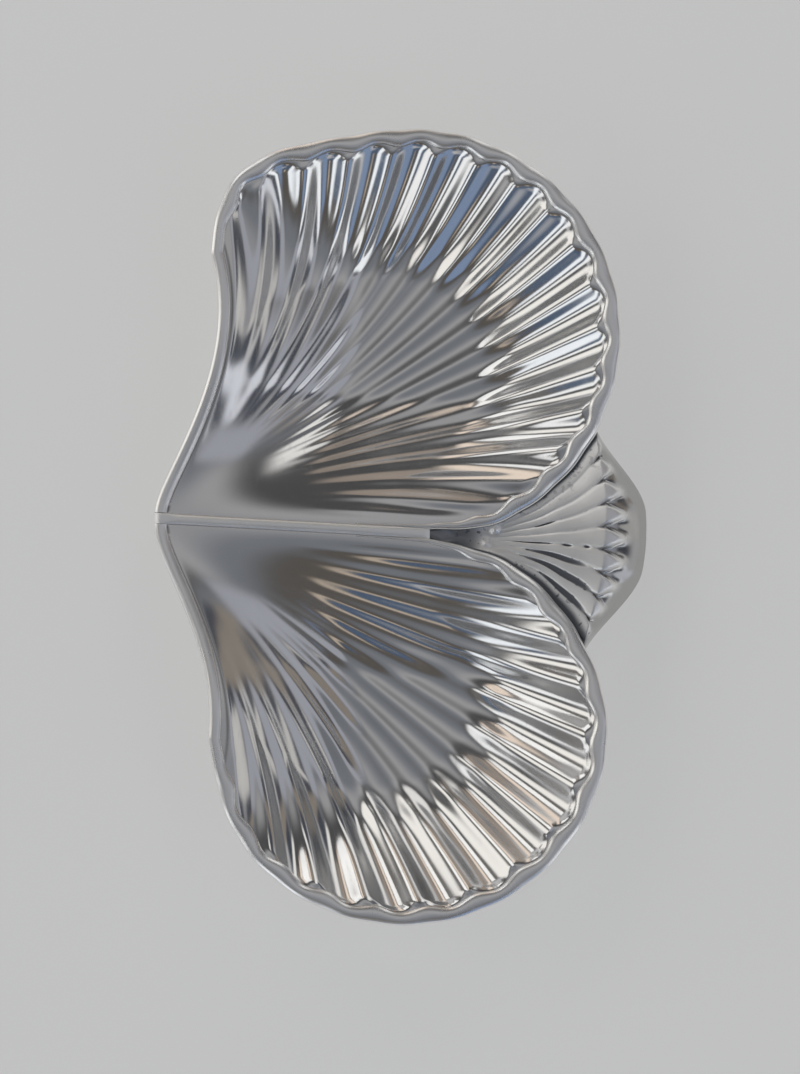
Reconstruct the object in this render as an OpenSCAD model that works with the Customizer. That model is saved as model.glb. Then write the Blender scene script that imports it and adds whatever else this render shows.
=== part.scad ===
// Serving tray of polished cast metal in the form of two scallop shells. The fluted bowls lie side
// by side along a ridge that runs from the hinge tip (-X) to the V where their rims part, and a small
// ribbed shell fills the gap behind the V (+X). +Z is up and the tray stands on ball feet at z = 0.

/* [Bowls] */
// Radius of a bowl's rim round its centre
bowl_r = 84.5; // [78:0.5:90]
// Distance from the ridge to a bowl's centre
bowl_y = 78.5; // [74:0.5:84]
// Bowl centre, measured along the ridge from the middle of the tray
bowl_x = 3.5; // [-2:0.5:8]
// Height of the outer rims' ledge above the table
rim_h = 37; // [32:0.5:46]
// How far the ridge's ledge and the hinge tip lie below the outer rims' ledge
ridge_drop = 6; // [0:0.5:10]
// Thickness of the cast metal
wall = 3; // [2:0.25:4]
// Width of the flat ledge inside the edge of a bowl
ledge_w = 5.6; // [4.5:0.1:8]
// Width of the wall between the ledge and the flat floor, on the rim side
rim_slope = 56; // [44:1:58]
// Width of the wall on the side of the outer edge that leads to the hinge tip
edge_slope = 50; // [38:1:54]
// Width of the wall on the ridge side
ridge_slope = 56; // [40:1:60]

/* [Outline] */
// How far the left bowl's ear stands out past the round of its rim
left_ear = 13.5; // [0:0.5:18]
// How far the right bowl's ear stands out (a negative ear is tucked in)
right_ear = -4.5; // [-8:0.5:10]
// How far the right bowl's rim is drawn in beside the small shell
right_notch = 6.5; // [0:0.5:12]
// Inward lean of the left bowl's outer edge below its ear
left_waist = 15; // [4:0.5:20]
// Inward lean of the right bowl's outer edge below its ear
right_waist = 3; // [0:0.5:12]

/* [Flutes] */
// Number of flutes in the left bowl
left_flutes = 19; // [12:1:22]
// Number of flutes in the right bowl
right_flutes = 17; // [12:1:22]
// Depth of a wide flute, from crest to trough, as a share of its width
flute_share = 0.13; // [0.05:0.01:0.2]
// How far the edge of a bowl swings out and in with its flutes
scallop = 0.4; // [0:0.1:2]
// How far the rim and its ledge reach in at the crests
cusp = 1.8; // [0:0.1:3]
// Distance from the hinge tip that stays smooth beside the outer edge
smooth_tip = 42; // [20:1:60]

/* [Rims] */
// Width of the rounded rim
rim_w = 5.3; // [3.5:0.1:5.4]
// Height of the rounded rim above its ledge
rim_t = 2.2; // [1.5:0.1:3.5]

/* [Ridge] */
// Distance from the middle of the tray to the hinge tip
hinge_x = 101; // [95:0.5:108]
// Where the ridge ends and the rims part, from the middle of the tray
ridge_end = 12; // [6:0.5:20]
// Sideways offset of the ridge's end from the hinge tip, towards the left bowl
ridge_lean = -3.2; // [-6:0.2:6]
// Width of the ridge
ridge_w = 4.5; // [3:0.25:7]
// Height of the ridge's crown above its ledge
ridge_t = 2.4; // [1:0.1:3.5]

/* [Small shell] */
// Distance from the middle of the tray to the small shell's outer end
fan_reach = 101; // [96:0.5:108]
// Number of ribs
fan_ribs = 9; // [5:2:13]
// Depth of the grooves between the ribs
fan_groove = 0.8; // [0.4:0.1:1.5]
// Thickness of the small shell
fan_t = 3; // [2:0.25:4]
// Step down from the bowls' ledges to the small shell's sides
fan_drop = 1.2; // [0.5:0.1:2]
// Rise of the small shell from the hollow behind the fork to the rib ends
fan_rise = 10; // [4:0.5:12]
// Fall of the smooth border beyond the ribs
fan_border_fall = 13; // [6:0.5:18]
// Angle on the left rim, seen from its bowl's centre, where the small shell's corner meets it
fan_left_corner = -25.5; // [-34:0.5:-18]
// Angle on the right rim, seen from its bowl's centre, where the small shell's corner meets it
fan_right_corner = -22; // [-34:0.5:-18]

/* [Feet] */
// Height of a foot, from the table to the underside of the bowl
foot_h = 8; // [6:0.5:12]
// Diameter of the ball
foot_ball_d = 11; // [8:0.5:14]
// Diameter of the flange that is soldered under the bowl
foot_flange_d = 14; // [10:0.5:16]
// Thickness of the flange
foot_flange_t = 1.5; // [1:0.25:2]
// Diameter of the flat that is ground on the ball
foot_flat_d = 6; // [4:0.5:8]
// Distance from a bowl's centre to each foot along the ridge's direction
foot_spread = 16; // [12:0.5:17]

/* [Hidden] */

// Gap of a seated rim over its ledge, and of the small shell's sides beside the bowls' edges
seat_gap = 0.08;
side_gap = 0.35;

floor_h = foot_h + wall;
ridge_h = rim_h - ridge_drop;
ridge_l = hinge_x + ridge_end;
tip = [-hinge_x, ridge_w / 2];
centre = [bowl_x, bowl_y];

// Widths, in degrees round a bowl's centre, of the ear, the notch and the tucks at the fork
ear_span = 21;
notch_span = 34;
left_tuck = 12;
right_tuck = 27;

// Angles round a bowl's centre where the notch lies, the ears lie and the rims begin
notch_at = -38;
left_ear_at = 140;
right_ear_at = 168;
left_start = 160;
right_start = 172;

// Fields of a bowl: flutes, ear, ear angle, angle where the rim begins, notch, waist, two points that
// the flutes pass on their way to the rim, how much they bunch at the sides, the ridge's lean,
// the tuck's width and the angle of the small shell's corner
FLUTES = 0;
EAR = 1;
EAR_AT = 2;
START = 3;
NOTCH = 4;
WAIST = 5;
NOSE = 6;
HEART = 7;
BUNCH = 8;
LEAN = 9;
TUCK = 10;
CORNER = 11;
LEFT = [left_flutes, left_ear, left_ear_at, left_start, 0, left_waist,
    centre + [-65.5, -52.5], centre + [-13.5, -20.5], 0, ridge_lean,
    left_tuck, fan_left_corner];
RIGHT = [right_flutes, right_ear, right_ear_at, right_start, right_notch, right_waist,
    centre + [-63.5, -48.5], centre + [-17.5, -16.5], 0.9, -ridge_lean,
    right_tuck, fan_right_corner];

// Share of the way to the ear where the outer edge turns, and length of its straight start
edge_turn = 0.45;
tip_run = 16;

// Softness at the top of a wall and beside the ridge, and how steeply a wall stands at its top
wall_round = 0.02;
ridge_round = 0.3;
wall_power = 1.6;

// Bluntness of the crests between flutes, and the width from which a flute has its full depth
crest_round = 0.4;
flute_full = 18;

// How flutes fade: along the ledge, along the floor, near the tip and from the edge to the ridge
fade_ledge = 0.04;
fade_floor = 0.12;
fade_tip = 46;
tip_ridge_extra = 14;
scallop_fade = 0.06;

// Facets: rows from tip to rim, columns per flute, rows along the outer edge and the run-out
shell_rows = 15;
flute_cols = 5;
row_power = 1.9;
edge_steps = 14;
run_steps = 5;
step = 0.004;

// Share of the way to the rim beyond which the metal turns upright
upright = 0.86;

function ease(x) = let (t = min(1, max(0, x))) t * t * (3 - 2 * t);
function mix(a, b, t) = a * (1 - t) + b * t;
function bell(a, at, span) = exp(-pow((a - at) / span, 2));
function bend(p0, p1, p2, t) = p0 * pow(1 - t, 2) + p1 * 2 * t * (1 - t) + p2 * t * t;

// Share that starts softly at 0 and ends at 1
function soft_share(t, soft) = (sqrt(t * t + soft * soft) - soft) / (sqrt(1 + soft * soft) - soft);

// Control point that makes a bend pass through a middle point
function through(p0, middle, p2) = 2 * middle - (p0 + p2) / 2;

// Flank of the ridge, and the end of that flank where the rims part
function flank_y(b, x) = tip.y + b[LEAN] * min(1, (x + hinge_x) / ridge_l);
function fork(b) = [ridge_end, flank_y(b, ridge_end)];
function fork_angle(b) = let (d = fork(b) - centre) atan2(d.y, d.x);

// Height of the ledge, which rises from the ridge to the bowls' centres
function ledge_z(b, p) = mix(ridge_h, rim_h, ease((p.y - flank_y(b, p.x)) / bowl_y));

// Rim of a bowl in plan: v runs from the ear (0) round to the fork (1)
function free_r(b, a) = bowl_r + b[EAR] * bell(a, b[EAR_AT], ear_span)
    - b[NOTCH] * bell(a, notch_at, notch_span);
function rim_r(b, a) = let (at = fork_angle(b))
    free_r(b, a) - (free_r(b, at) - norm(fork(b) - centre)) * bell(a, at, b[TUCK]);
function rim_angle(b, v) = mix(b[START], fork_angle(b), v);
function rim_share(b, a) = (a - b[START]) / (fork_angle(b) - b[START]);
function crest(b, v) = 1 - soft_share(abs(sin(180 * v * b[FLUTES])), crest_round);
function rim_ends(v) = ease(v / scallop_fade) * ease((1 - v) / scallop_fade);
function rim_point(b, v, out = 0) =
    let (a = rim_angle(b, v),
        r = rim_r(b, a) + scallop * rim_ends(v) * (0.5 - crest(b, v)) + out,
        p = centre + r * [cos(a), sin(a)])
    [p.x, max(p.y, flank_y(b, p.x) - out)];

// Flute lines in plan: u runs from the hinge tip (0) to the rim (1)
function flute_point(b, u, v) =
    let (w = mix(v, ease(v), b[BUNCH]),
        ear = rim_point(b, 0),
        a0 = tip + [0, tip_run],
        a2 = mix(tip, fork(b), 1 / 3),
        b0 = ear + [b[WAIST], -edge_turn * ear.y],
        b2 = mix(tip, fork(b), 2 / 3),
        p1 = bend(a0, through(a0, b[NOSE], a2), a2, w),
        p2 = bend(b0, through(b0, b[HEART], b2), b2, w))
    tip * pow(1 - u, 3) + p1 * 3 * u * pow(1 - u, 2) + p2 * 3 * u * u * (1 - u)
        + rim_point(b, v) * pow(u, 3);

// Share of the full depth at a distance into a wall
function wall_share(d, width, soft) =
    1 - pow(1 - soft_share(min(1, max(0, d / width)), soft), wall_power);

// Distance from the outer edge, square to it
function edge_gap(b, p, u) =
    let (along = flute_point(b, u + step, 0) - flute_point(b, u - step, 0))
    abs(cross(along, p - flute_point(b, u, 0))) / norm(along);

function depth_share(b, p, u, v) =
    wall_share(norm(rim_point(b, v) - p) - ledge_w - cusp * crest(b, v), rim_slope, wall_round)
        * wall_share(edge_gap(b, p, u) - ledge_w, edge_slope, wall_round)
        * wall_share(p.y - flank_y(b, p.x), ridge_slope, ridge_round);

// Smooth inside of a bowl, before its flutes
function bowl_point(b, u, v) =
    let (p = flute_point(b, u, v), g = depth_share(b, p, u, v))
    [p.x, p.y, mix(ledge_z(b, p), floor_h, g)];

// Direction through the metal, which turns upright towards the rim
function bowl_normal(b, u, v) = u >= 1 || v <= 0 || v >= 1 ? [0, 0, 1] :
    let (n = cross(bowl_point(b, u + step, v) - bowl_point(b, u - step, v),
            bowl_point(b, u, v + step) - bowl_point(b, u, v - step)),
        m = mix(n * sign(n.z) / norm(n), [0, 0, 1], ease((u - upright) / (1 - upright))))
    m / norm(m);

// Width of a flute, square to its run
function flute_width(b, u, v) =
    let (along = flute_point(b, u + step, v) - flute_point(b, u - step, v),
        beside = flute_point(b, u, v + step) - flute_point(b, u, v - step))
    abs(cross(along, beside)) / norm(along) / (2 * step * b[FLUTES]);

// Height of the flutes, which live on the walls only
function flute_lift(b, u, v) =
    let (p = flute_point(b, u, v),
        g = depth_share(b, p, u, v),
        away = norm(p - tip) - smooth_tip - tip_ridge_extra * v,
        fade = ease(g / fade_ledge) * ease((1 - g) / fade_floor) * ease(away / fade_tip),
        w = flute_width(b, u, v))
    flute_share * w * sqrt(min(1, w / flute_full)) * fade * (crest(b, v) - 0.5);

// Keeps a bowl or a rim off the ridge's flank
function clear_of_ridge(b, p) = [p.x, max(p.y, flank_y(b, p.x)), p.z];

function row_u(i) = 1 - pow(1 - i / shell_rows, row_power);

// Faces of a plate between a top and a bottom grid, whose first row may be a single point
function row_start(i, cols, tipped) = tipped ? (i == 0 ? 0 : 1 + (i - 1) * cols) : i * cols;
function grid_index(i, j, cols, tipped) = row_start(i, cols, tipped) + (tipped && i == 0 ? 0 : j);
function quad(a, b, c, d) = a == d ? [[a, b, c]] : [[a, b, c], [a, c, d]];
function plate_faces(rows, cols, tipped) =
    let (count = row_start(rows, cols, tipped),
        last = rows - 1,
        edge = cols - 1)
    concat(
        [for (i = [0:rows - 2], j = [0:cols - 2], f = quad(
            grid_index(i, j, cols, tipped), grid_index(i + 1, j, cols, tipped),
            grid_index(i + 1, j + 1, cols, tipped), grid_index(i, j + 1, cols, tipped)))
            each [f, [for (k = [2:-1:0]) f[k] + count]]],
        [for (i = [0:rows - 2], f = quad(
            grid_index(i + 1, 0, cols, tipped), grid_index(i, 0, cols, tipped),
            grid_index(i, 0, cols, tipped) + count, grid_index(i + 1, 0, cols, tipped) + count)) f],
        [for (i = [0:rows - 2], f = quad(
            grid_index(i, edge, cols, tipped), grid_index(i + 1, edge, cols, tipped),
            grid_index(i + 1, edge, cols, tipped) + count, grid_index(i, edge, cols, tipped) + count)) f],
        [for (j = [0:cols - 2], f = quad(
            grid_index(last, j + 1, cols, tipped), grid_index(last, j, cols, tipped),
            grid_index(last, j, cols, tipped) + count, grid_index(last, j + 1, cols, tipped) + count)) f],
        tipped ? [] : [for (j = [0:cols - 2], f = quad(
            grid_index(0, j, cols, tipped), grid_index(0, j + 1, cols, tipped),
            grid_index(0, j + 1, cols, tipped) + count, grid_index(0, j, cols, tipped) + count)) f]);

module plate(top, bottom, tipped = false) {
    cols = len(top[1]);
    polyhedron([for (row = top) each row, for (row = bottom) each row],
        plate_faces(len(top), cols, tipped));
}

// Solid through a row of closed rings, each listed clockwise as seen from its start
module loft(rings) {
    sides = len(rings[0]);
    last = len(rings) - 1;
    polyhedron([for (ring = rings) each ring], concat(
        [[for (k = [sides - 1:-1:0]) k]],
        [[for (k = [0:sides - 1]) last * sides + k]],
        [for (i = [0:last - 1], k = [0:sides - 1], f = quad(
            i * sides + k, i * sides + (k + 1) % sides,
            (i + 1) * sides + (k + 1) % sides, (i + 1) * sides + k)) f]));
}

// Cast bowl on the +Y side: fluted inside and out, with a flat ledge round its edge
module bowl(b) {
    cols = b[FLUTES] * flute_cols;
    top = [for (i = [0:shell_rows]) [for (j = [0:i == 0 ? 0 : cols])
        let (u = row_u(i), v = j / cols)
        bowl_point(b, u, v) + bowl_normal(b, u, v) * (i == 0 ? 0 : flute_lift(b, u, v))]];
    bottom = [for (i = [0:shell_rows]) [for (j = [0:i == 0 ? 0 : cols])
        let (u = row_u(i), v = j / cols)
        clear_of_ridge(b, top[i][j] - (i == 0 ? [0, 0, 1] : bowl_normal(b, u, v)) * wall)]];
    plate(top, bottom, tipped = true);
}

// Half-round rim on a bowl's ledge: shares of its width from the inner side, and of its height
rim_turn = 30;
RIM_SECTION = [for (a = [0:rim_turn:180]) [(1 - cos(a)) / 2, sin(a)]];
// Length along the ridge over which a rim runs out past the fork
run_out = 30;
// Width and height of a rim, as shares, at the end of its run-out
run_w = 0.12;
run_t = 0.3;
// Flutes before the fork over which a rim begins to run out, and how much of it is done at the fork
merge_flutes = 3;
merge_share = 0.7;

module rim(b) {
    rim_steps = b[FLUTES] * flute_cols;
    edge = [for (i = [0:edge_steps]) flute_point(b, i / edge_steps, 0)];
    round = [for (j = [1:rim_steps]) rim_point(b, j / rim_steps)];
    tail = [for (k = [1:run_steps]) mix(fork(b), tip, run_out / ridge_l * k / run_steps)];
    path = concat(edge, round, tail);
    reach = concat([for (p = edge) 0],
        [for (j = [1:rim_steps]) let (v = j / rim_steps) cusp * rim_ends(v) * crest(b, v)],
        [for (p = tail) 0]);
    merge = concat([for (p = edge) 0],
        [for (j = [1:rim_steps]) merge_share * max(0, 1 - (1 - j / rim_steps) * b[FLUTES] / merge_flutes)],
        [for (k = [1:run_steps]) mix(merge_share, 1, k / run_steps)]);
    last = len(path) - 1;
    rings = [for (i = [0:last])
        let (along = i == 0 ? [0, 1] : path[min(last, i + 1)] - path[i - 1],
            inward = [along.y, -along.x] / norm(along),
            taper = ease(merge[i]),
            w = (rim_w + reach[i]) * mix(1, run_w, taper),
            h = rim_t * mix(1, run_t, taper))
        [for (s = RIM_SECTION)
            let (p = path[i] + inward * w * (1 - s.x))
            clear_of_ridge(b, [p.x, p.y, ledge_z(b, p) + seat_gap + h * s.y])]];
    loft(rings);
}

// Crown of the ridge across its width: flat at the hinge tip, round beyond it
RIDGE_SHARES = [-1, -0.94, -0.7, -0.36, 0, 0.36, 0.7, 0.94, 1];
ridge_steps = 22;
ridge_power = 1.6;
nose_flat = 8;
nose_run = 10;
// Length, as a share of the rims' width, over which the crown rolls up from the hinge tip
nose_roll = 0.55;

module divider_ridge() {
    rings = [for (i = [0:ridge_steps])
        let (d = ridge_l * pow(i / ridge_steps, ridge_power),
            roll = sqrt(1 - pow(1 - min(1, d / (rim_w * nose_roll)), 2)),
            end = mix(1, run_t, ease((d - ridge_l + run_out) / run_out)),
            h = ridge_t * roll * end,
            power = mix(nose_flat, 2, ease(d / nose_run)),
            axis = [d - hinge_x, ridge_lean * d / ridge_l, ridge_h])
        concat(
            [axis + [0, -ridge_w / 2, -wall]],
            [for (q = RIDGE_SHARES)
                axis + [0, q * ridge_w / 2, h * pow(1 - pow(abs(q), power), 1 / power)]],
            [axis + [0, ridge_w / 2, -wall]])];
    color("gainsboro") loft([for (ring = rings) [for (k = [len(ring) - 1:-1:0]) ring[k]]]);
}

// Small ribbed shell between the rims: its rows run from the fork to the outer end
fan_rows = 20;
rib_cols = 4;
// Share of the rows that carry ribs, and the plan width of the border's corners, in degrees
fan_edge = 0.76;
corner_span = 1.5;
// Outward swell of the ribs' last row, and how far the rib ends swing along the rows
edge_swell = 6;
// How the swell blends a parabola with a bell that is flat in the middle
bell_share = 0.5;
bell_reach = 1.35;
rib_swing = 0.03;
// Step at the rib ends, and the hollow behind the fork
edge_step = 2;
pocket = 3;
// Shares of the rows where the hollow is full, the rise begins, and the ribs begin and are full
pocket_run = 0.12;
pocket_end = 0.22;
rib_start = 0.22;
rib_full = 0.42;
// Share of the rows that the ribs and their step take to fade at the border, and what fades
rib_fade = 0.12;
step_fade = 0.06;
rib_loss = 0.75;
// Softness of the hollow's bottom
rise_round = 0.1;
// How sharply the ribs die at the sides and the border curves down
side_power = 6;
border_power = 1.7;

function fan_side(b, u) =
    let (a = mix(fork_angle(b), b[CORNER] - corner_span, min(1, u / fan_edge))
            + corner_span * max(0, (u - fan_edge) / (1 - fan_edge)))
    rim_point(b, rim_share(b, a), side_gap);

function fan_swell(v) = mix(1 - v * v, ease(bell_reach * (1 - abs(v))), bell_share);

function fan_plan(u, v) =
    let (l = fan_side(LEFT, u),
        r = fan_side(RIGHT, u),
        swell = u < fan_edge ? edge_swell * pow(u / fan_edge, 2)
            : mix(edge_swell, fan_reach - (l.x + r.x) / 2, (u - fan_edge) / (1 - fan_edge)))
    [max(ridge_end, mix(r.x, l.x, (v + 1) / 2) + swell * fan_swell(v)), mix(-r.y, l.y, (v + 1) / 2)];

function fan_z(u, v) =
    let (side = v > 0 ? ledge_z(LEFT, fan_side(LEFT, u)) : ledge_z(RIGHT, fan_side(RIGHT, u)),
        outer = max(0, (u - fan_edge) / (1 - fan_edge)),
        climb = min(1, max(0, (u - pocket_end) / (fan_edge - pocket_end))),
        middle = ridge_h - pocket * ease(u / pocket_run) + fan_rise * soft_share(climb, rise_round),
        rib = pow(cos(90 * fan_ribs * v), 2),
        groove = fan_groove * (1 - rib) * ease((u - rib_start) / (rib_full - rib_start))
            * (1 - rib_loss * ease((u - fan_edge) / rib_fade)),
        lip = edge_step * ease((u - fan_edge - rib_swing * (2 * rib - 1)) / step_fade))
    mix(middle, side - fan_drop, v * v) - groove * (1 - pow(v, side_power)) - lip
        - (fan_border_fall - edge_step) * pow(outer, border_power);

module fan_shell() {
    cols = fan_ribs * rib_cols;
    top = [for (i = [0:fan_rows]) [for (j = [0:cols])
        let (u = i / fan_rows, v = 1 - 2 * j / cols, p = fan_plan(u, v))
        [p.x, p.y, fan_z(u, v)]]];
    color("whitesmoke") plate(top, [for (row = top) [for (p = row) p - [0, 0, fan_t]]]);
}

// Turned ball foot with a flange on top and a flat ground on its underside
neck_d_share = 0.6;

module foot(x, y) {
    ball_r = foot_ball_d / 2;
    flat_r = foot_flat_d / 2;
    ball_z = sqrt(ball_r * ball_r - flat_r * flat_r);
    neck_r = ball_r * neck_d_share;
    color("silver") translate([x, y, 0]) rotate_extrude($fn = 64) union() {
        intersection() {
            translate([0, ball_z]) circle(r = ball_r);
            square([ball_r, foot_h - foot_flange_t]);
        }
        square([neck_r, foot_h]);
        translate([0, foot_h - foot_flange_t]) square([foot_flange_d / 2, foot_flange_t]);
    }
}

module left_bowl() { color("silver") bowl(LEFT); }
module right_bowl() { color("silver") mirror([0, 1, 0]) bowl(RIGHT); }
module left_rim() { color("gainsboro") rim(LEFT); }
module right_rim() { color("gainsboro") mirror([0, 1, 0]) rim(RIGHT); }
module left_front_foot() { foot(bowl_x - foot_spread, bowl_y); }
module left_rear_foot() { foot(bowl_x + foot_spread, bowl_y); }
module right_front_foot() { foot(bowl_x - foot_spread, -bowl_y); }
module right_rear_foot() { foot(bowl_x + foot_spread, -bowl_y); }

left_bowl();
right_bowl();
left_rim();
right_rim();
divider_ridge();
fan_shell();
left_front_foot();
left_rear_foot();
right_front_foot();
right_rear_foot();
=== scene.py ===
import math

import bmesh
import bpy
import numpy as np
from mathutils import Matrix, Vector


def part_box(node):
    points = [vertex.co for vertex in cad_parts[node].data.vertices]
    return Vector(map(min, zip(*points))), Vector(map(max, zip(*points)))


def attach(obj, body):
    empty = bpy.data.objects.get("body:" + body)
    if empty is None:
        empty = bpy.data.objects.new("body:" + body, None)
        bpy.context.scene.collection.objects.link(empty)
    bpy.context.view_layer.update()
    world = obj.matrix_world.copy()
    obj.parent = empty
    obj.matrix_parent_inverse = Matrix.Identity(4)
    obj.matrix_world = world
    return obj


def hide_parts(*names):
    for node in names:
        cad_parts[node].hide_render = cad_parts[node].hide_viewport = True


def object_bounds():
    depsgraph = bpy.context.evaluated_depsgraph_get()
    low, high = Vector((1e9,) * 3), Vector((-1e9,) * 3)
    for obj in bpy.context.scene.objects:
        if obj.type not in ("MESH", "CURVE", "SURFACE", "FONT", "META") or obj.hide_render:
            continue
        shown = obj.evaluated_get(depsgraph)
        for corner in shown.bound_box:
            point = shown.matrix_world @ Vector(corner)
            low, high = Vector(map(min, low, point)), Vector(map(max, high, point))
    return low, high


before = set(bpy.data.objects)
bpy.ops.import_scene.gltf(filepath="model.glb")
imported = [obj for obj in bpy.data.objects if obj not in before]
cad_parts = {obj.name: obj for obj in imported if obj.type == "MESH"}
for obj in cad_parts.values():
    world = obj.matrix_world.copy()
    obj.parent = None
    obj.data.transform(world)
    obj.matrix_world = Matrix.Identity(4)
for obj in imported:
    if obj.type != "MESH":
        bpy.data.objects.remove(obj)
cad_box = [list(corner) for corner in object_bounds()]

# Bowls. Two scallop bowls, cast in a silvery alloy and polished to a mirror inside and out. Their
# flutes run in curves from the hinge tip to the edge, where a flat ledge carries the rim moulding.
MM = 0.001


def solid_box(node):
    """Lowest and highest corner of a solid, in millimetres"""
    return [np.array(corner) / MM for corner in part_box(node)]


ridge_low, ridge_high = solid_box("divider_ridge")
front_foot = solid_box("left_front_foot")
rear_foot = solid_box("left_rear_foot")
wall = 3.0
rim_h = solid_box("left_bowl")[1][2]
ridge_h = ridge_low[2] + wall
floor_h = front_foot[1][2] + wall
hinge_x = -ridge_low[0]
ridge_end = ridge_high[0]
ridge_l = hinge_x + ridge_end
ridge_w = 4.5
ridge_lean = -3.2
bowl_r = 84.5
centre = (front_foot[0] + rear_foot[1])[:2] / 2
tip = np.array([-hinge_x, ridge_w / 2])

# Both bowls are drawn on the left of the ridge, and side -1 mirrors the right one over. Angles are in
# degrees round the bowl's centre, and 0 is the side of the small shell.
BOWLS = {
    "left": dict(
        side=1, flutes=19, lean=ridge_lean,
        start=160, ear=13.5, ear_at=140, notch=0, tuck=12,
        waist=15, nose=centre + [-65.5, -52.5], heart=centre + [-13.5, -20.5], bunch=0),
    "right": dict(
        side=-1, flutes=17, lean=-ridge_lean,
        start=172, ear=-4.5, ear_at=168, notch=6.5, tuck=27,
        waist=3, nose=centre + [-63.5, -48.5], heart=centre + [-17.5, -16.5], bunch=0.9),
}
ear_span = 21.0
notch_at = -38.0
notch_span = 34.0
tip_run = 16.0  # the outer edge leaves the tip square to the ridge, with this much run
edge_turn = 0.45  # it turns up to the ear this early, as a share of the ear's distance

scallop = 0.4  # how far the rim swings in at each crest
scallop_fade = 0.06  # share of the rim over which the swing fades at both ends
cusp = 1.8  # how far the ledge and the rim reach in at each crest
crest_round = 0.6  # bluntness of the crests, where 0 is a sharp edge

ledge_w = 5.6
rim_slope = 56.0  # run of the wall below the rim
edge_slope = 50.0  # run of the wall below the outer edge
ridge_slope = 56.0  # run of the wall below the ridge
wall_round = 0.02  # softness at the top of a wall
ridge_round = 0.3  # softness beside the ridge
wall_power = 1.6  # how soon a wall levels out towards the floor
upright = 0.86  # share of a flute from which the metal's thickness turns upright

flute_share = 0.13  # depth of a flute as a share of its width
flute_full = 18.0  # width below which flutes are shallower still
smooth_tip = 42.0  # reach of the smooth metal round the tip
tip_ridge_extra = 14.0  # further reach of the smooth metal along the ridge
fade_tip = 46.0  # the flutes grow over this distance beyond it
fade_ledge = 0.04  # and over these shares of the depth, below the ledge and above the floor
fade_floor = 0.12
hand_slow = 0.12  # slow and quick changes of depth from flute to flute, as hand work leaves them
hand_quick = 0.06
slow_beat = 2.3
quick_beat = 5.1

trace_share = 0.07  # depth of the flutes' faint ends on the floor, as a share of their width
trace_from = 0.7  # share of the bowl's depth at which the faint ends begin
trace_mean = 0.4
trace_end = 150.0  # they are gone at this distance from the rim
trace_fade = 60.0
floor_dish = 1.2
dish_r = 60.0


def ease(x):
    """Smooth step from 0 to 1"""
    t = np.clip(x, 0, 1)
    return t * t * (3 - 2 * t)


def mix(a, b, t):
    return a * (1 - t) + b * t


def bell(a, at, span):
    return np.exp(-((a - at) / span) ** 2)


def soft_share(t, soft):
    """Share that starts softly at 0 and ends at 1"""
    return (np.hypot(t, soft) - soft) / (math.hypot(1, soft) - soft)


def bend(p0, p1, p2, t):
    """Curve with three control points"""
    t = t[..., None]
    return p0 * (1 - t) ** 2 + p1 * 2 * t * (1 - t) + p2 * t * t


def through(p0, middle, p2):
    """Control point that makes a bend pass through a middle point"""
    return 2 * middle - (p0 + p2) / 2


def apart(a, b):
    """Distance between points"""
    return np.linalg.norm(a - b, axis=-1)


def unit(vectors):
    return vectors / np.maximum(np.linalg.norm(vectors, axis=-1, keepdims=True), 1e-12)


def square_part(along, off):
    """Length in plan of the part of a vector that is square to another"""
    square = np.abs(along[..., 0] * off[..., 1] - along[..., 1] * off[..., 0])
    return square / np.maximum(np.linalg.norm(along, axis=-1), 1e-9)


def flank_y(bowl, x):
    """The ridge's flank, where the bowl's inner edge meets it"""
    return tip[1] + bowl["lean"] * np.minimum(1, (x + hinge_x) / ridge_l)


def fork(bowl):
    """Where the rim reaches the end of the ridge"""
    return np.array([ridge_end, flank_y(bowl, ridge_end)])


def fork_angle(bowl):
    x, y = fork(bowl) - centre
    return math.degrees(math.atan2(y, x))


def ledge_z(bowl, p):
    """Height of the ledge, which climbs from the ridge to the rim"""
    return mix(ridge_h, rim_h, ease((p[..., 1] - flank_y(bowl, p[..., 0])) / centre[1]))


def crest(bowl, v):
    """1 on the blunt crests between flutes and 0 in the middle of their round troughs"""
    return 1 - soft_share(np.sin(np.pi * v * bowl["flutes"]), crest_round)


def rim_ends(v):
    """1 along the rim, fading to 0 at both of its ends"""
    return ease(v / scallop_fade) * ease((1 - v) / scallop_fade)


def free_r(bowl, a):
    """Radius of the rim, before it tucks in to the fork"""
    ear = bowl["ear"] * bell(a, bowl["ear_at"], ear_span)
    return bowl_r + ear - bowl["notch"] * bell(a, notch_at, notch_span)


def rim_point(bowl, v, out=0.0):
    """Edge of a bowl in plan: v runs from the ear (0) round to the fork (1)"""
    last = fork_angle(bowl)
    a = mix(bowl["start"], last, v)
    tuck = (free_r(bowl, last) - apart(fork(bowl), centre)) * bell(a, last, bowl["tuck"])
    swing = scallop * rim_ends(v) * (0.5 - crest(bowl, v))
    r = free_r(bowl, a) - tuck + swing + out
    return centre + r[..., None] * np.stack([np.cos(np.radians(a)), np.sin(np.radians(a))], -1)


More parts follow.
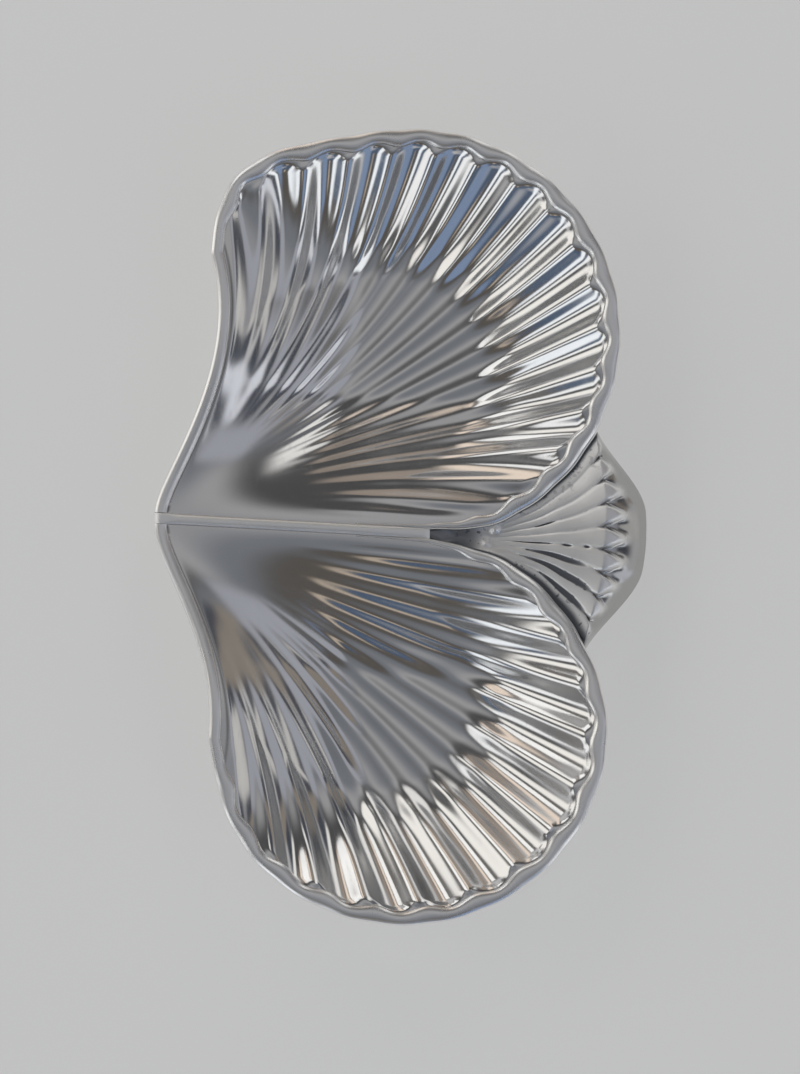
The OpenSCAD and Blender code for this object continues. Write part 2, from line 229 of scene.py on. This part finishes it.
def flute_point(bowl, u, v):
    """Flute lines in plan: u runs from the hinge tip (0) to the edge (1)"""
    u, v = np.broadcast_arrays(np.asarray(u, float), np.asarray(v, float))
    w = mix(v, ease(v), bowl["bunch"])
    ear = rim_point(bowl, np.zeros(1))[0]
    a0 = tip + [0, tip_run]
    a2 = mix(tip, fork(bowl), 1 / 3)
    b0 = ear + [bowl["waist"], -edge_turn * ear[1]]
    b2 = mix(tip, fork(bowl), 2 / 3)
    p1 = bend(a0, through(a0, bowl["nose"], a2), a2, w)
    p2 = bend(b0, through(b0, bowl["heart"], b2), b2, w)
    t = u[..., None]
    return (tip * (1 - t) ** 3 + p1 * 3 * t * (1 - t) ** 2 + p2 * 3 * t * t * (1 - t)
        + rim_point(bowl, v) * t ** 3)


def wall_share(d, width, soft=wall_round):
    """Share of the full depth at a distance into a wall with a soft top"""
    return 1 - (1 - soft_share(np.clip(d / width, 0, 1), soft)) ** wall_power


def edge_gap(bowl, p, u, step=0.004):
    """Distance from the outer edge, square to it"""
    along = flute_point(bowl, u + step, 0.0) - flute_point(bowl, u - step, 0.0)
    return square_part(along, p - flute_point(bowl, u, 0.0))


def depth_share(bowl, p, u, v):
    """Share of the bowl's full depth, from the walls below the rim, the outer edge and the ridge"""
    from_rim = apart(rim_point(bowl, v), p) - ledge_w - cusp * crest(bowl, v)
    from_edge = edge_gap(bowl, p, u) - ledge_w
    from_ridge = p[..., 1] - flank_y(bowl, p[..., 0])
    return (wall_share(from_rim, rim_slope) * wall_share(from_edge, edge_slope)
        * wall_share(from_ridge, ridge_slope, ridge_round))


def smooth_bowl(bowl, u, v):
    """Inside of a bowl before its flutes"""
    p = flute_point(bowl, u, v)
    z = mix(ledge_z(bowl, p), floor_h, depth_share(bowl, p, *np.broadcast_arrays(u, v)))
    return np.concatenate([p, z[..., None]], -1)


def bowl_normal(bowl, u, v, step=0.004):
    """Direction through the metal, which turns upright towards the edges"""
    along = smooth_bowl(bowl, u + step, v) - smooth_bowl(bowl, u - step, v)
    n = unit(np.cross(along, smooth_bowl(bowl, u, v + step) - smooth_bowl(bowl, u, v - step)))
    n *= np.sign(n[..., 2:])
    u, v = np.broadcast_arrays(u, v)
    up = np.array([0, 0, 1.0])
    n = unit(mix(n, up, ease((u - upright) / (1 - upright))[..., None]))
    n[(u <= 0) | (u >= 1) | (v <= 0) | (v >= 1)] = up
    return n


def flute_width(bowl, u, v, step=0.004):
    """Width of a flute, square to its run"""
    along = flute_point(bowl, u + step, v) - flute_point(bowl, u - step, v)
    beside = flute_point(bowl, u, v + step) - flute_point(bowl, u, v - step)
    return square_part(along, beside) / (2 * step * bowl["flutes"])


def tip_fade(p, v):
    """0 on the smooth metal round the hinge tip and 1 where the flutes are full"""
    return ease((apart(p, tip) - smooth_tip - tip_ridge_extra * v) / fade_tip)


def flute_lift(bowl, u, v):
    """Height of the flutes, which live on the walls and differ a little from one to the next"""
    u, v = np.broadcast_arrays(u, v)
    p = flute_point(bowl, u, v)
    g = depth_share(bowl, p, u, v)
    fade = ease(g / fade_ledge) * ease((1 - g) / fade_floor) * tip_fade(p, v)
    count = v * bowl["flutes"]
    hand = 1 + hand_slow * np.sin(slow_beat * count) + hand_quick * np.sin(quick_beat * count + 1)
    width = flute_width(bowl, u, v)
    depth = flute_share * width * np.sqrt(np.minimum(1, width / flute_full)) * hand
    return depth * fade * (crest(bowl, v) - 0.5)


def floor_trace(bowl, u, v):
    """Faint ends of the flutes on the floor, and the floor's slight dish"""
    u, v = np.broadcast_arrays(u, v)
    p = flute_point(bowl, u, v)
    g = depth_share(bowl, p, u, v)
    reach = ease((trace_end - apart(rim_point(bowl, v), p)) / trace_fade)
    fade = ease((g - trace_from) / (1 - trace_from)) * reach * tip_fade(p, v)
    dish = floor_dish * ease(1 - apart(p, centre) / dish_r)
    return trace_share * flute_width(bowl, u, v) * fade * (crest(bowl, v) - trace_mean) - dish


class Shade:
    """A socket of a node tree: arithmetic on it adds Math nodes, and node() adds any other node"""

    def __init__(self, tree, socket=None):
        self.tree = tree
        self.socket = socket

    def node(self, kind, settings=None, sockets=None, output=0):
        node = self.tree.nodes.new("ShaderNode" + kind)
        for name, setting in (settings or {}).items():
            setattr(node, name, setting)
        for name, value in (sockets or {}).items():
            if isinstance(value, Shade):
                self.tree.links.new(value.socket, node.inputs[name])
            else:
                node.inputs[name].default_value = value
        return Shade(self.tree, node.outputs[output] if node.outputs else None)

    def math(self, operation, *values):
        return self.node("Math", {"operation": operation}, dict(enumerate(values)))

    def __add__(self, other):
        return self.math("ADD", self, other)

    def __sub__(self, other):
        return self.math("SUBTRACT", self, other)

    def __rsub__(self, other):
        return self.math("SUBTRACT", other, self)

    def __mul__(self, other):
        return self.math("MULTIPLY", self, other)

    __radd__ = __add__
    __rmul__ = __mul__

    def rise(self, low, high):
        """0 on low's side, 1 on high's side and smooth between them, with either of them the larger"""
        return self.node("MapRange", {"interpolation_type": "SMOOTHSTEP"},
            {"Value": self, "From Min": low, "From Max": high})

    def between(self, low, high):
        """Mixes two colours by this value"""
        factor, first, second, mixed = 0, 6, 7, 2
        return self.node("Mix", {"data_type": "RGBA"}, {factor: self, first: low, second: high}, mixed)

    def attribute(self, name):
        """Value that the mesh carries from point to point"""
        return self.node("Attribute", {"attribute_name": name}, output="Fac")

    def noise(self, scale, detail=2.0, stretch=(1, 1, 1)):
        """Noise on the piece, with its scale in waves per metre and a stretch along each axis"""
        place = self.node("TexCoord", output="Object")
        place = self.node("Mapping", {}, {"Vector": place, "Scale": stretch})
        return self.node("TexNoise", {}, {"Vector": place, "Scale": scale, "Detail": detail})


def blank(owner):
    """Empties the node tree of a material or a world, and starts shading in it"""
    owner.use_nodes = True
    owner.node_tree.nodes.clear()
    return Shade(owner.node_tree)


def silver(tone):
    """Colour of the metal at a brightness, a touch warm"""
    return (tone, tone * 0.992, tone * 0.975, 1)


# pale colour of the frost, which on the small shell is also painted light
frost_and_sheen_tone = 0.97


def metal(name, tone, rough, wave, residue_and_shade_tone, pits=0.0):
    """Polished cast metal: cloudy polish, hand-buffed waves, hairlines, matte frost and dark residue,
    which also carry painted light and shade
    """
    material = bpy.data.materials.new(name)
    start = blank(material)
    cloud = start.noise(scale=28, detail=3)
    grain = start.noise(scale=900, detail=4, stretch=(1, 0.12, 1))
    specks = start.noise(scale=420, detail=2)
    swell = start.noise(scale=55, detail=1.5)
    # The residue attribute is real residue, and on the small shell it is also painted shadow of the rims;
    # both darken the colour
    residue_and_shade = start.attribute("residue_and_shade")
    # The frost attribute is matte frost, and on the small shell it is also painted light on the ribs,
    # pillows and knobs
    frost_and_sheen = start.attribute("frost_and_sheen") * (0.6 + 0.5 * cloud)
    grime_and_shade = (residue_and_shade * (0.45 + 0.9 * cloud)).rise(0.12, 0.75)
    if pits:
        pitted = residue_and_shade.rise(0.05, 0.5) * specks.rise(0.62 - pits, 0.7 - pits)
        grime_and_shade = grime_and_shade.math("MAXIMUM", grime_and_shade, pitted)
    colour = cloud.rise(0.35, 0.7).between(silver(tone * 0.95), silver(tone))
    colour = frost_and_sheen.between(colour, silver(frost_and_sheen_tone))
    colour = grime_and_shade.between(colour, residue_and_shade_tone)
    dulled = 0.3 * frost_and_sheen + 0.05 * cloud.rise(0.45, 0.75) + 0.04 * grain.rise(0.5, 0.8) + 0.35 * grime_and_shade
    height = swell * wave + grain * 0.006 + specks.rise(0.68, 0.76) * -0.03 - grime_and_shade * 0.08
    bump = start.node("Bump", {}, {"Strength": 1.0, "Distance": 0.0002, "Height": height})
    shader = start.node("BsdfPrincipled", {}, {
        "Base Color": colour,
        "Metallic": 1.0,
        "Roughness": rough + dulled,
        "Normal": bump})
    start.node("OutputMaterial", {}, {"Surface": shader})
    return material


def piece(node, grids, finish, sharp=40):
    """Welds grids of points (x, y, z, residue with painted shade, frost with painted light) into one
    closed mesh that stands for a solid
    """
    weld = 1e-4
    points = np.concatenate([grid.reshape(-1, 5) for grid in grids])
    points[:, :3] = np.clip(points[:, :3], np.array(cad_box[0]) / MM, np.array(cad_box[1]) / MM)
    keys = np.round(points[:, :3] / weld).astype(np.int64)
    _, first, place = np.unique(keys, axis=0, return_index=True, return_inverse=True)
    faces = []
    start = 0
    for grid in grids:
        rows, cols = grid.shape[:2]
        corner = start + np.arange(rows - 1)[:, None] * cols + np.arange(cols - 1)
        quads = place.ravel()[np.stack([corner, corner + cols, corner + cols + 1, corner + 1], -1)]
        faces += [tuple(dict.fromkeys(quad)) for quad in quads.reshape(-1, 4).tolist()]
        start += rows * cols
    mesh = bpy.data.meshes.new(node)
    mesh.from_pydata(points[first, :3] * MM, [], [face for face in faces if len(face) > 2])
    for column, surface in ((3, "residue_and_shade"), (4, "frost_and_sheen")):
        layer = mesh.attributes.new(surface, "FLOAT", "POINT")
        layer.data.foreach_set("value", points[first, column].astype(np.float32))
    shell = bmesh.new()
    shell.from_mesh(mesh)
    bmesh.ops.recalc_face_normals(shell, faces=shell.faces)
    shell.to_mesh(mesh)
    shell.free()
    mesh.shade_smooth()
    mesh.set_sharp_from_angle(angle=math.radians(sharp))
    mesh.materials.append(finish)
    made = bpy.data.objects.new(node + "_visual", mesh)
    bpy.context.scene.collection.objects.link(made)
    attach(made, "root")
    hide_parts(node)


def dressed(points, residue_and_shade=0.0, side=1, frost_and_sheen=0.0):
    """Points with residue and frost beside them, which also carry painted shade and light, mirrored to
    the right bowl's side where side is -1
    """
    points = points * [1, side, 1]
    surface = [np.broadcast_to(value, points.shape[:-1])[..., None] for value in (residue_and_shade, frost_and_sheen)]
    return np.concatenate([points] + surface, -1)


def inward(path):
    """Unit vectors square to a path in plan, on its bowl's side"""
    along = np.gradient(path, axis=0)
    return unit(np.stack([along[:, 1], -along[:, 0]], -1))


bowl_rows = 110
flute_cols = 16
row_power = 1.6  # packs the rows towards the edge
down = np.array([0, 0, -1.0])
edge_round = 1.2  # rounding under the edge
edge_run = 12.0  # the rounding grows over this distance from the tip
EDGE_TURNS = np.radians([0, 30, 60, 90])
rim_w = 5.3
corner_w = 0.7  # width of the residue line along the rim's foot
corner_grime = 0.55
bowl_finish = metal("bowl_metal", tone=0.78, rough=0.13, wave=0.25, residue_and_shade_tone=(0.16, 0.15, 0.14, 1))

for name, bowl in BOWLS.items():
    u = (1 - (1 - np.linspace(0, 1, bowl_rows + 1)) ** row_power)[:, None]
    v = np.linspace(0, 1, bowl["flutes"] * flute_cols + 1)[None, :]
    normal = bowl_normal(bowl, u, v)
    inside = smooth_bowl(bowl, u, v) + normal * flute_lift(bowl, u, v)[..., None]
    outside = inside - normal * wall
    inside = inside + normal * floor_trace(bowl, u, v)[..., None]
    outside[..., 1] = np.maximum(outside[..., 1], flank_y(bowl, outside[..., 0]))
    edge = np.concatenate([inside[:, 0], inside[-1, 1:]])
    turn_in = np.append(inward(edge[:, :2]), np.zeros((len(edge), 1)), -1)
    reach = edge_round * ease(apart(edge[:, :2], tip) / edge_run)[:, None]
    rings = [edge] + [edge + turn_in * reach * (1 - math.cos(turn))
        + down * (wall - edge_round + edge_round * math.sin(turn)) for turn in EDGE_TURNS]
    outside[:, 0] = rings[-1][:bowl_rows + 1]
    outside[-1] = rings[-1][bowl_rows:]
    from_rim = apart(rim_point(bowl, v), inside[..., :2])
    from_edge = edge_gap(bowl, inside[..., :2], u)
    corner = bell(np.minimum(from_rim, from_edge), rim_w, corner_w)
    piece(name + "_bowl", [
        dressed(inside, corner_grime * corner, bowl["side"]),
        dressed(outside, 0, bowl["side"]),
        dressed(np.array(rings), 0, bowl["side"]),
        dressed(np.stack([inside[:, -1], outside[:, -1]]), 0, bowl["side"])], bowl_finish)

# Rims. A rounded moulding of the same metal, soldered on each bowl's ledge. It starts at the hinge
# tip, follows the outer edge and the scalloped rim, and runs out along the ridge past the fork.
rim_t = 2.2
seat_gap = 0.08
rim_power = 0.65  # flatness of the crown, where 1 is half-round
run_out = 30.0  # length of the run-out along the ridge
run_w = 0.12  # shares of the width and the height that are left at its end
run_t = 0.3
merge_flutes = 3  # the rim thins over this many flutes before the fork
merge_share = 0.7
foot_power = 6
foot_run = 40.0  # the residue at the rim's foot grows over this distance from the tip
foot_grime = 0.4
rim_frost = 0.3
rim_cols = 14
edge_rows = 90
tail_rows = 24
rim_finish = metal("rim_metal", tone=0.95, rough=0.20, wave=0.3, residue_and_shade_tone=(0.2, 0.19, 0.18, 1))


def closed(top, bottom, residue_and_shade=0.0, side=1, frost_and_sheen=0.0):
    """Grids of a closed piece: its dressed top, its bottom and the four strips between their edges"""
    edges = (np.s_[:, 0], np.s_[:, -1], np.s_[0], np.s_[-1])
    plain = [bottom] + [np.stack([top[edge], bottom[edge]]) for edge in edges]
    return [dressed(top, residue_and_shade, side, frost_and_sheen)] + [dressed(grid, 0, side) for grid in plain]


section_turn = np.linspace(0, np.pi, rim_cols + 1)
across = (1 - np.cos(section_turn)) / 2
up = np.abs(np.sin(section_turn)) ** rim_power
tail_t = np.linspace(0, 1, tail_rows + 1)[1:]
for name, bowl in BOWLS.items():
    edge = flute_point(bowl, np.linspace(0, 1, edge_rows + 1), 0.0)
    round_v = np.linspace(0, 1, bowl["flutes"] * flute_cols + 1)[1:]
    tail = mix(fork(bowl), tip, (run_out / ridge_l * tail_t)[:, None])
    path = np.concatenate([edge, rim_point(bowl, round_v), tail])
    square = inward(path)
    square[0] = (1, 0)
    merge = merge_share * np.maximum(0, 1 - (1 - round_v) * bowl["flutes"] / merge_flutes)
    taper = np.concatenate([np.zeros(len(edge)), merge, mix(merge_share, 1, tail_t)])
    taper = ease(taper)[:, None]
    swing = cusp * rim_ends(round_v) * crest(bowl, round_v)
    reach = np.concatenate([np.zeros(len(edge)), swing, np.zeros(len(tail))])
    width = (rim_w + reach[:, None]) * mix(1, run_w, taper)
    plan = path[:, None] + square[:, None] * (width * (1 - across))[..., None]
    plan[..., 1] = np.maximum(plan[..., 1], flank_y(bowl, plan[..., 0]))
    base = np.concatenate([plan, (ledge_z(bowl, plan) + seat_gap)[..., None]], -1)
    crown = base - (rim_t * mix(1, run_t, taper) * up)[..., None] * down
    grime_and_shade = foot_grime * (1 - up) ** foot_power * ease(apart(plan, tip) / foot_run)
    piece(name + "_rim", closed(crown, base, grime_and_shade, bowl["side"], rim_frost), rim_finish)

# Divider ridge. A bar of the same metal between the bowls, face to face with both. Its crown rolls
# up at the hinge tip, runs as a round crest along the ridge and sinks between the rims at the fork.
ridge_t = ridge_high[2] - ridge_h
ridge_rows = 160
ridge_cols = 24
ridge_row_power = 1.6  # packs the rows towards the tip
nose_roll = 0.55  # length of the roll at the tip, as a share of the rim's width
nose_flat = 8.0  # powers of the section, which is flat at the tip and rounder along the ridge
crest_flat = 2.6
nose_run = 10.0
end_roll = 3.0
seam_from = 10.0  # residue along both seams, from this distance off the tip
seam_run = 30.0
seam_power = 12
ridge_seam_grime = 0.3
ridge_frost = 0.85

d = (ridge_l * np.linspace(0, 1, ridge_rows + 1) ** ridge_row_power)[:, None]
roll = np.sqrt(1 - (1 - np.minimum(1, d / (rim_w * nose_roll))) ** 2)
sink = mix(1, run_t, ease((d - ridge_l + run_out) / run_out))
sink = sink * np.sqrt(1 - np.clip((d - ridge_l + end_roll) / end_roll, 0, 1) ** 2)
power = mix(nose_flat, crest_flat, ease(d / nose_run))
across = -np.cos(np.linspace(0, np.pi, ridge_cols + 1))[None, :]
crown = np.stack([
    np.broadcast_to(d - hinge_x, (ridge_rows + 1, ridge_cols + 1)),
    ridge_lean * d / ridge_l + across * ridge_w / 2,
    ridge_h + ridge_t * roll * sink * (1 - np.abs(across) ** power) ** (1 / power)], -1)
base = crown.copy()
base[..., 2] = ridge_h - wall
grime_and_shade = ridge_seam_grime * np.abs(across) ** seam_power * ease((d - seam_from) / seam_run)
piece("divider_ridge", closed(crown, base, grime_and_shade, frost_and_sheen=ridge_frost), rim_finish)

# Small shell. A ribbed shell cast in the same metal fills the gap between the rims. Its ribs fan out
# from a pitted pocket behind the fork and end in pillows above a smooth border that turns down.
fan_t = 3.0
fan_drop = 1.2  # its sides lie this much below the ledges beside them
fan_rise = 10.0  # climb of the middle from the pocket to the ends of the ribs
fan_reach = solid_box("fan_shell")[1][0]
side_gap = 0.35
FAN_CORNERS = {"left": -25.5, "right": -22}
corner_span = 1.5
edge_swell = 6.0  # how far the ends of the ribs bow out in the middle
bell_share = 0.5  # the outer edge is between a round bow and a bell in outline
bell_reach = 1.35
pocket = 3.0
border_fall = 13.0
border_power = 1.7

# Shares run along the shell, from the fork (0) to the outer edge (1)
fan_edge = 0.76  # where the border starts
pocket_run = 0.12
pocket_end = 0.22
rise_round = 0.1

fan_ribs = 9
rib_h = 0.14
groove_cut = 0.21
groove_power = 6
rib_start = 0.22
rib_full = 0.42
rib_fade = 0.12
side_power = 6  # the ribs flatten out beside the rims
edge_step = 2.0  # step down from the ribs to the border, which swings out at each rib
step_fade = 0.06
rib_swing = 0.06
pillow_h = 0.8
pillow_at = fan_edge + 0.1
pillow_span = 0.03
KNOBS = [(38.8, -0.95), (35.2, -6.3)]  # two knobs at the end of the pocket
knob_h = 1.1
knob_r = 1.5
SPOTS = [
    # groove in ninths of the half width, start and end along it, half width
    (-1, 0.3, 0.5, 0.022), (-1, 0.53, 0.59, 0.022), (-1, 0.64, 0.68, 0.02),
    (-3, 0.36, 0.68, 0.055), (-5, 0.34, 0.74, 0.06), (-7, 0.44, 0.74, 0.05), (3, 0.4, 0.5, 0.02),
]
spot_cut = 0.56

# Residue in the pocket and in the grooves, painted shadow of the rims along the shell's sides, and where
# the matte skin with its painted light starts
pocket_grime = 0.62
pocket_dark = 0.14
pocket_fade = 0.13
groove_grime = 0.18
# painted shadow that the rims cast on the shell's sides: darkest at the seams, and spread over these
# shares of the width
fan_rim_shadow = 0.9
left_rim_shadow_span = 0.07
right_rim_shadow_span = 0.14
flank_grime = 0.22  # pits on the flank beside the left rim
flank_from = 0.5
flank_fade = 0.3
matte_and_sheen_from = 0.1
matte_and_sheen_fade = 0.12
fan_rows = 130
rib_cols = 20
# the shell's own tone is darker than the bowls', as painted shade that its border and pocket keep
fan_finish = metal("fan_metal", tone=0.5, rough=0.14, wave=0.4, residue_and_shade_tone=(0.2, 0.21, 0.23, 1),
    pits=0.05)


def fan_side(name, u):
    """Side of the small shell in plan, which follows a bowl's edge from the fork to the shell's corner"""
    bowl = BOWLS[name]
    first = fork_angle(bowl)
    a = mix(first, FAN_CORNERS[name] - corner_span, np.minimum(1, u / fan_edge))
    a = a + corner_span * np.maximum(0, (u - fan_edge) / (1 - fan_edge))
    return rim_point(bowl, (a - bowl["start"]) / (first - bowl["start"]), side_gap)


u = np.linspace(0, 1, fan_rows + 1)[:, None]
v = np.linspace(1, -1, fan_ribs * rib_cols + 1)[None, :]
left = fan_side("left", u)
right = fan_side("right", u)
outer = np.maximum(0, (u - fan_edge) / (1 - fan_edge))
swell = np.where(u < fan_edge, edge_swell * (u / fan_edge) ** 2,
    mix(edge_swell, fan_reach - (left[..., 0] + right[..., 0]) / 2, outer))
swell = swell * mix(1 - v * v, ease(bell_reach * (1 - np.abs(v))), bell_share)
t = (v + 1) / 2
x = np.minimum(np.maximum(ridge_end, mix(right[..., 0], left[..., 0], t) + swell), fan_reach)
y = mix(-right[..., 1], left[..., 1], t)

climb = soft_share(np.clip((u - pocket_end) / (fan_edge - pocket_end), 0, 1), rise_round)
middle = ridge_h - pocket * ease(u / pocket_run) + fan_rise * climb
sides = np.where(v > 0, ledge_z(BOWLS["left"], left), ledge_z(BOWLS["right"], right)) - fan_drop
rib = np.cos(np.pi / 2 * fan_ribs * v) ** 2
groove = (1 - rib) ** groove_power
grown = ease((u - rib_start) / (rib_full - rib_start)) * (1 - ease((u - fan_edge) / rib_fade))
inner = 1 - v ** side_power
spots = np.zeros(x.shape)
for at, start, end, wide in SPOTS:
    along = (u - (start + end) / 2) / (end - start) * 2
    spots += np.maximum(0, 1 - ((v - at / fan_ribs) / wide) ** 2 - along ** 2)
lift = (rib_h * rib - groove_cut * groove - spot_cut * spots) * grown * inner
lip = edge_step * ease((u - fan_edge - rib_swing * (np.sqrt(rib) * 2 - 1)) / step_fade)
pillow = pillow_h * rib ** 2 * bell(u, pillow_at, pillow_span) * inner
knobs = sum(knob_h * np.exp(-((x - kx) ** 2 + (y - ky) ** 2) / knob_r ** 2) for kx, ky in KNOBS)
fall = (border_fall - edge_step) * outer ** border_power
z = mix(middle, sides, v * v) + lift - lip + pillow + knobs - fall
top = np.stack([x, y, z], -1)

# painted shadow along both rims, on the shell above its border
rim_shadow_span = np.where(v > 0, left_rim_shadow_span, right_rim_shadow_span)
grime_and_shade = np.maximum(np.sqrt(spots), pocket_grime * (1 - ease((u - pocket_dark) / pocket_fade)))
grime_and_shade = np.maximum(grime_and_shade, groove_grime * groove * grown)
grime_and_shade = np.maximum(grime_and_shade, fan_rim_shadow * bell(np.abs(v), 1, rim_shadow_span) * (1 - outer))
grime_and_shade = np.maximum(grime_and_shade, flank_grime * ease((v - flank_from) / flank_fade) * (1 - outer))
# painted light: the ribs above the border, the pillows and the knobs take the pale frost colour as if
# lit, while the border and pocket stay dark as if shaded; the frost also roughens them
matte_and_sheen = (1 - lip / edge_step) * ease((u - matte_and_sheen_from) / matte_and_sheen_fade) + np.minimum(1, pillow + knobs)
matte_and_sheen = np.clip(matte_and_sheen, 0, 1)
piece("fan_shell", closed(top, top - [0, 0, fan_t], grime_and_shade, frost_and_sheen=matte_and_sheen), fan_finish)

# Feet. Four turned balls of the same alloy with a flange on top, soldered under the bowls' flat
# bottoms. They are left satin; the table's scuffs on the flat ground of each ball are not drawn.
foot_finish = metal("foot_metal", tone=0.70, rough=0.22, wave=0.2, residue_and_shade_tone=(0.25, 0.24, 0.23, 1))
for row in ("front", "rear"):
    for name in BOWLS:
        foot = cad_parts[f"{name}_{row}_foot"]
        foot.data.materials.clear()
        foot.data.materials.append(foot_finish)

# Table top. A plain pale sheet that the tray stands on. Nearly half of its tone is its own, so that it
# stays pale in a dim studio, and the rest is lit and takes the tray's shadow.
floor_size = 6.0
own_tone = 0.45
bpy.ops.mesh.primitive_plane_add(size=floor_size)
floor = bpy.context.object
floor.name = "floor"
paper = bpy.data.materials.new("paper")
sheet = blank(paper)
tint = sheet.noise(scale=3, detail=3).between((0.80, 0.80, 0.79, 1), (0.83, 0.83, 0.82, 1))
lit = sheet.node("BsdfPrincipled", {}, {"Base Color": tint, "Roughness": 0.7})
glow = sheet.node("Emission", {}, {"Color": tint, "Strength": 1.0})
camera_ray = sheet.node("LightPath", output="Is Camera Ray")
glossy_ray = sheet.node("LightPath", output="Is Glossy Ray")
glass_ray = sheet.node("LightPath", output="Is Transmission Ray")
seen = (camera_ray + glossy_ray + glass_ray) * own_tone
sheet.node("OutputMaterial", {}, {"Surface": sheet.node("MixShader", {}, {0: seen, 1: lit, 2: glow})})
floor.data.materials.append(paper)

# Studio. A dim room with soft windows of several tints round the table, which the mirror polish picks
# up as bands along the flutes, and one soft lamp beyond the ear of the left bowl.
lamp_level = 1.05
lamp_at = (-0.79, 1.08, 0.87)
lamp_aim = (0, 0, 0.03)
lamp = bpy.data.lights.new("soft_lamp", "AREA")
lamp.shape = "RECTANGLE"
lamp.size = 0.56
lamp.size_y = 0.85
lamp.energy = lamp_level * math.pi * lamp.size * lamp.size_y
soft_lamp = bpy.data.objects.new("soft_lamp", lamp)
soft_lamp.location = lamp_at
aim = np.array(lamp_aim) - soft_lamp.location
soft_lamp.rotation_euler = (math.acos(-aim[2] / np.linalg.norm(aim)), 0, math.atan2(-aim[0], aim[1]))
bpy.context.scene.collection.objects.link(soft_lamp)

room_level = 1.3
world = bpy.data.worlds.new("studio")
bpy.context.scene.world = world
sky = blank(world)
looking = sky.node("TexCoord", output="Generated")
east, north, up = (sky.node("SeparateXYZ", {}, {0: looking}, axis) for axis in ("X", "Y", "Z"))
turn = sky.math("ARCTAN2", north, east)
tilt = sky.math("ARCCOSINE", up)

room = north.rise(-0.2, 0.25).between((0.15, 0.16, 0.18, 1), (0.30, 0.30, 0.31, 1))
side = tilt.rise(0.25, 0.7)
panel = east.rise(0.3, 0.45) * east.rise(0.78, 0.66) * (north * north).rise(0.12, 0.04)
WALLS = [
    # what shows in place of the ceiling, by radians from overhead and by side; colour
    (side, (0.08, 0.08, 0.082, 1)),  # dark walls all round
    (side * north.rise(-0.1, -0.6), (0.085, 0.077, 0.07, 1)),  # brown wall beyond the right bowl
    (tilt.rise(1.0, 1.15) * north.rise(-0.1, -0.6), (0.065, 0.095, 0.15, 1)),  # its slate foot
    (side * north.rise(0.1, 0.6), (0.06, 0.06, 0.062, 1)),  # darker wall beyond the left bowl
    (tilt.rise(0.95, 1.1) * north.rise(0.2, 0.7), (0.14, 0.132, 0.125, 1)),  # its warm foot
    (side * east.rise(0.2, 0.6), (0.15, 0.155, 0.17, 1)),  # grey wall beyond the small shell
    (tilt.rise(0.75, 0.95) * east.rise(0.2, 0.5), (0.05, 0.055, 0.07, 1)),  # its dark foot
    (tilt.rise(1.25, 1.5), (0.45, 0.45, 0.46, 1)),  # pale horizon
    (panel, (0.30, 0.31, 0.35, 1)),  # pale panel above the small shell
]
for mask, colour in WALLS:
    room = mask.between(room, colour)

WINDOWS = [
    # angle round the table, half width, start and end as angles from overhead, in degrees; colour
    (165, 13, 38, 100, (0.86, 0.84, 0.81, 1)),
    (204, 8, 36, 100, (0.86, 0.87, 0.88, 1)),
    (234, 9, 44, 100, (0.86, 0.90, 0.95, 1)),
    (268, 5, 50, 61, (0.46, 0.39, 0.32, 1)),
    (298, 13, 44, 100, (0.18, 0.24, 0.36, 1)),
    (324, 6, 40, 100, (0.88, 0.91, 0.95, 1)),
    (346, 4, 50, 100, (0.62, 0.64, 0.70, 1)),
    (8, 4, 50, 100, (0.50, 0.49, 0.48, 1)),
    (28, 6, 44, 100, (0.22, 0.195, 0.17, 1)),
    (66, 8, 41, 100, (0.76, 0.75, 0.74, 1)),
    (88, 5, 60, 100, (0.28, 0.235, 0.2, 1)),
    (104, 5, 50, 100, (0.80, 0.68, 0.58, 1)),
]
side_blur = 0.4  # softness of the sides, as a share of the half width
start_blur = 5  # and of the upper and lower edges, in degrees
end_blur = 4
for at, half, start, end, colour in WINDOWS:
    off = turn - math.radians(at)
    off = off.math("ABSOLUTE", off.math("WRAP", off, math.pi, -math.pi))
    pane = off.rise(math.radians((1 + side_blur) * half), math.radians((1 - side_blur) * half))
    pane = pane * tilt.rise(math.radians(start - start_blur), math.radians(start + start_blur))
    pane = pane * tilt.rise(math.radians(end + end_blur), math.radians(end - end_blur))
    room = pane.between(room, colour)
light = sky.node("Background", {}, {"Color": room, "Strength": room_level})
sky.node("OutputWorld", {}, {"Surface": light})

# Camera. It hangs almost straight above the tray, a little to the right bowl's side, and is turned
# with the tray's slight slant. Its long lens keeps the rims' true proportions.
camera_distance = 1.6
camera_lean = math.radians(5.0)
camera_roll = math.radians(1.5686)
view_width = 0.3264
view_at = np.array([-0.0001, -0.0055, 0.037])
lens = bpy.data.cameras.new("camera")
lens.sensor_fit = "HORIZONTAL"
lens.lens = lens.sensor_width * camera_distance / view_width
camera = bpy.data.objects.new("camera", lens)
sideways = math.sin(camera_lean)
back = np.array([
    math.sin(camera_roll) * sideways,
    -math.cos(camera_roll) * sideways,
    math.cos(camera_lean)])
camera.location = view_at + camera_distance * back
camera.rotation_euler = (camera_lean, 0, camera_roll)
bpy.context.scene.collection.objects.link(camera)
bpy.context.scene.camera = camera
bpy.context.scene.view_settings.view_transform = "Standard"
